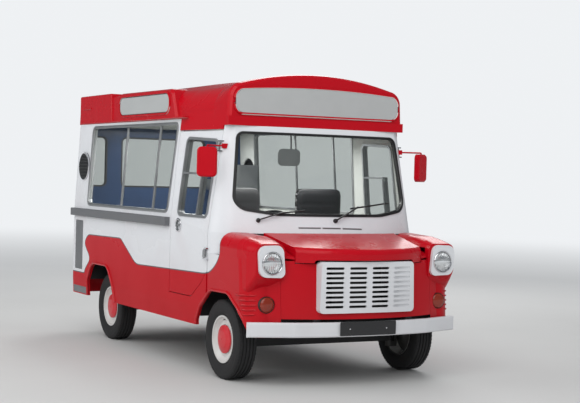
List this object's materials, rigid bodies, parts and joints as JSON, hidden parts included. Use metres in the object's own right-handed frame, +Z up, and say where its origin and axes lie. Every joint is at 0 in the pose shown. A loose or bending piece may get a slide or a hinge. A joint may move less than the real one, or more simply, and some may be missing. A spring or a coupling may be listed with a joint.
{
  "type": "ice cream truck",
  "caption": "Short-wheelbase ice cream van with moulded roof cap, sliding serving windows and ledges, opening doors and bonnet, steering and rolling wheels.",
  "frame": {"origin": "on the ground under the middle of the vehicle's length", "axes": "+X forward, +Y to the vehicle's left, +Z up"},
  "size_m": [4.342, 2.2468, 2.53],
  "materials": {
    "white_paint": "gloss enamel",
    "red_paint": "gloss enamel",
    "red_gelcoat": "gloss gelcoat over moulded fibreglass",
    "black_paint": "dull chassis paint",
    "engine_metal": "dull",
    "window_aluminium": "satin",
    "chrome_trim": "polished",
    "stainless": "brushed",
    "window_glass": "clear",
    "lamp_glass": "ribbed",
    "amber_lens": "clear",
    "red_lens": "clear",
    "black_rubber": "dull",
    "tyre_rubber": "dull",
    "wheel_paint": "gloss enamel, red hub cap",
    "grey_laminate": "satin",
    "black_plastic": "satin",
    "seat_vinyl": "grained vinyl"
  },
  "bodies": {
    "body": {"chassis_rails": "black_paint", "cross_members": "black_paint", "front_axle_beam": "black_paint", "rear_axle": "black_paint", "leaf_springs": "black_paint", "engine_block": "engine_metal", "gearbox_and_shaft": "engine_metal", "exhaust": "engine_metal", "fuel_tank": "black_paint", "floor_pan": "black_paint", "wheel_housings": "black_paint", "side_panels": "white_paint", "rear_panel": "white_paint", "roof_cap": "red_gelcoat", "cab_front": "white_paint", "wings": "red_paint", "front_panel": "red_paint", "grille": "white_paint", "front_bumper": "white_paint", "rear_bumper": "white_paint", "headlamps": "lamp_glass", "headlamp_bezels": "white_paint", "indicators": "amber_lens", "tail_lamps": "red_lens", "windscreen": "window_glass", "window_rubbers": "black_rubber", "serving_window_frames": "window_aluminium", "body_glass": "window_glass", "serving_ledges": "grey_laminate", "side_vents": "black_plastic", "wipers": "black_plastic", "seats": "seat_vinyl", "dashboard": "black_plastic", "counters": "grey_laminate", "whip_machine": "stainless", "door_hinges": "chrome_trim", "ceiling_lining": "grey_laminate", "mirror_left": "red_paint", "mirror_right": "red_paint"},
    "bonnet": {"bonnet": "red_paint"},
    "steering_wheel": {"steering_wheel": "black_plastic"},
    "door_left": {"door_left": "white_paint", "door_left_trim": "window_aluminium", "door_left_glass": "window_glass"},
    "knuckle_left": {"knuckle_left": "engine_metal"},
    "wheel_front_left": {"tyre_front_left": "tyre_rubber", "wheel_front_left": "wheel_paint"},
    "wheel_rear_left": {"tyre_rear_left": "tyre_rubber", "wheel_rear_left": "wheel_paint"},
    "door_right": {"door_right": "white_paint", "door_right_trim": "window_aluminium", "door_right_glass": "window_glass"},
    "knuckle_right": {"knuckle_right": "engine_metal"},
    "wheel_front_right": {"tyre_front_right": "tyre_rubber", "wheel_front_right": "wheel_paint"},
    "wheel_rear_right": {"tyre_rear_right": "tyre_rubber", "wheel_rear_right": "wheel_paint"}
  },
  "joints": [
    {"name": "steer_left", "type": "hinge", "parent": "body", "child": "knuckle_left", "pos_m": [1.381, 0.69, 0.29], "axis": [0, 0, 1], "range_deg": [-30, 30]},
    {"name": "spin_front_left", "type": "hinge", "parent": "knuckle_left", "child": "wheel_front_left", "pos_m": [1.381, 0.845, 0.325], "axis": [0, 1, 0], "continuous": true},
    {"name": "spin_rear_left", "type": "hinge", "parent": "body", "child": "wheel_rear_left", "pos_m": [-1.311, 0.792, 0.325], "axis": [0, 1, 0], "continuous": true},
    {"name": "door_left_open", "type": "hinge", "parent": "body", "child": "door_left", "pos_m": [1.145, 0.993, 1.01], "axis": [0, 0.1215, -0.9926], "range_deg": [0, 70]},
    {"name": "steer_right", "type": "hinge", "parent": "body", "child": "knuckle_right", "pos_m": [1.381, -0.69, 0.29], "axis": [0, 0, 1], "range_deg": [-30, 30]},
    {"name": "spin_front_right", "type": "hinge", "parent": "knuckle_right", "child": "wheel_front_right", "pos_m": [1.381, -0.845, 0.325], "axis": [0, 1, 0], "continuous": true},
    {"name": "spin_rear_right", "type": "hinge", "parent": "body", "child": "wheel_rear_right", "pos_m": [-1.311, -0.792, 0.325], "axis": [0, 1, 0], "continuous": true},
    {"name": "door_right_open", "type": "hinge", "parent": "body", "child": "door_right", "pos_m": [1.145, -0.993, 1.01], "axis": [0, 0.1215, 0.9926], "range_deg": [0, 70]},
    {"name": "steering_wheel_turn", "type": "hinge", "parent": "body", "child": "steering_wheel", "pos_m": [1.081, -0.4, 1.24], "axis": [-0.6157, 0, 0.788], "range_deg": [-510, 510]},
    {"name": "bonnet_open", "type": "hinge", "parent": "body", "child": "bonnet", "pos_m": [1.731, 0, 1.15], "axis": [0, -1, 0], "range_deg": [0, 55]}
  ],
  "couplings": [
    {"joint": "steer_right", "follows": "steer_left", "ratio": 1},
    {"joint": "steering_wheel_turn", "follows": "steer_left", "ratio": 17}
  ]
}
